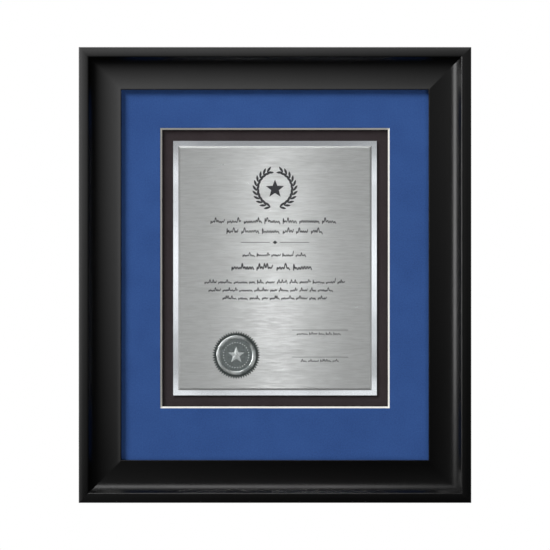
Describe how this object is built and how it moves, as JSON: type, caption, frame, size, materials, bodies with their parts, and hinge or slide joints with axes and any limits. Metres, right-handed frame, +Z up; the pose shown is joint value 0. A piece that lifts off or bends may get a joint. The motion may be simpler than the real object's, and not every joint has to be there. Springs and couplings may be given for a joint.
{
  "type": "certificate frame",
  "caption": "Wall frame for a metal certificate plate: black scoop moulding, glazing, blue window mat with white bevel, and a backing held by turn buttons, with D-ring hangers.",
  "frame": {"origin": "on the wall plane that the bumpers touch, behind the centre of the frame's outline", "axes": "+X right and +Z up as seen from the front; the front faces -Y and the wall is on +Y"},
  "size_m": [0.3906, 0.0344, 0.4536],
  "materials": {
    "black_lacquer": "satin black lacquer over wood",
    "clear_glazing": "clear, low reflection",
    "blue_mat_paper": "matt, fine tooth",
    "white_mat_core": "cut edge, matt",
    "black_board": "matt",
    "foam_strip": "foam board",
    "mounting_tape": "foam tape",
    "polished_aluminium": "mirror polish",
    "brushed_aluminium": "brushed crosswise",
    "seal_metal": "embossed, darkened",
    "hardboard": "pressed board",
    "black_steel": "blackened",
    "zinc_steel": "zinc plated",
    "bumper_rubber": "matt"
  },
  "bodies": {
    "frame": {"frame_rail_top": "black_lacquer", "frame_rail_bottom": "black_lacquer", "frame_rail_left": "black_lacquer", "frame_rail_right": "black_lacquer", "corner_v_nails": "zinc_steel", "glazing_sheet": "clear_glazing", "mat_face_paper": "blue_mat_paper", "mat_core": "white_mat_core", "mat_spacer_strips": "foam_strip", "black_mount_board": "black_board", "plaque_mounting_tape": "mounting_tape", "plaque_base_plate": "polished_aluminium", "brushed_plate": "brushed_aluminium", "embossed_seal": "seal_metal", "backing_board": "hardboard", "turn_button_screws": "zinc_steel", "hanger_strap_left": "zinc_steel", "hanger_strap_right": "zinc_steel", "hanger_screws": "zinc_steel", "wall_bumper_left": "bumper_rubber", "wall_bumper_right": "bumper_rubber"},
    "turn_button_top_left": {"turn_button_top_left": "black_steel"},
    "turn_button_top_right": {"turn_button_top_right": "black_steel"},
    "turn_button_bottom_left": {"turn_button_bottom_left": "black_steel"},
    "turn_button_bottom_right": {"turn_button_bottom_right": "black_steel"},
    "turn_button_left_upper": {"turn_button_left_upper": "black_steel"},
    "turn_button_left_lower": {"turn_button_left_lower": "black_steel"},
    "turn_button_right_upper": {"turn_button_right_upper": "black_steel"},
    "turn_button_right_lower": {"turn_button_right_lower": "black_steel"},
    "hanger_ring_left": {"hanger_ring_left": "zinc_steel"},
    "hanger_ring_right": {"hanger_ring_right": "zinc_steel"}
  },
  "joints": [
    {"name": "turn_button_top_left_pivot", "type": "hinge", "parent": "frame", "child": "turn_button_top_left", "pos_m": [-0.09, -0.00515, 0.20275], "axis": [0, 1, 0], "continuous": true},
    {"name": "turn_button_top_right_pivot", "type": "hinge", "parent": "frame", "child": "turn_button_top_right", "pos_m": [0.09, -0.00515, 0.20275], "axis": [0, 1, 0], "continuous": true},
    {"name": "turn_button_bottom_left_pivot", "type": "hinge", "parent": "frame", "child": "turn_button_bottom_left", "pos_m": [-0.09, -0.00515, -0.20275], "axis": [0, 1, 0], "continuous": true},
    {"name": "turn_button_bottom_right_pivot", "type": "hinge", "parent": "frame", "child": "turn_button_bottom_right", "pos_m": [0.09, -0.00515, -0.20275], "axis": [0, 1, 0], "continuous": true},
    {"name": "turn_button_left_upper_pivot", "type": "hinge", "parent": "frame", "child": "turn_button_left_upper", "pos_m": [-0.1713, -0.00515, 0.12], "axis": [0, 1, 0], "continuous": true},
    {"name": "turn_button_left_lower_pivot", "type": "hinge", "parent": "frame", "child": "turn_button_left_lower", "pos_m": [-0.1713, -0.00515, -0.12], "axis": [0, 1, 0], "continuous": true},
    {"name": "turn_button_right_upper_pivot", "type": "hinge", "parent": "frame", "child": "turn_button_right_upper", "pos_m": [0.1713, -0.00515, 0.12], "axis": [0, 1, 0], "continuous": true},
    {"name": "turn_button_right_lower_pivot", "type": "hinge", "parent": "frame", "child": "turn_button_right_lower", "pos_m": [0.1713, -0.00515, -0.12], "axis": [0, 1, 0], "continuous": true},
    {"name": "hanger_ring_left_swing", "type": "hinge", "parent": "frame", "child": "hanger_ring_left", "pos_m": [-0.1643, -0.00372, 0.075], "axis": [0, 0, 1], "range_deg": [-3, 174]},
    {"name": "hanger_ring_right_swing", "type": "hinge", "parent": "frame", "child": "hanger_ring_right", "pos_m": [0.1643, -0.00372, 0.075], "axis": [0, 0, -1], "range_deg": [-3, 174]}
  ]
}
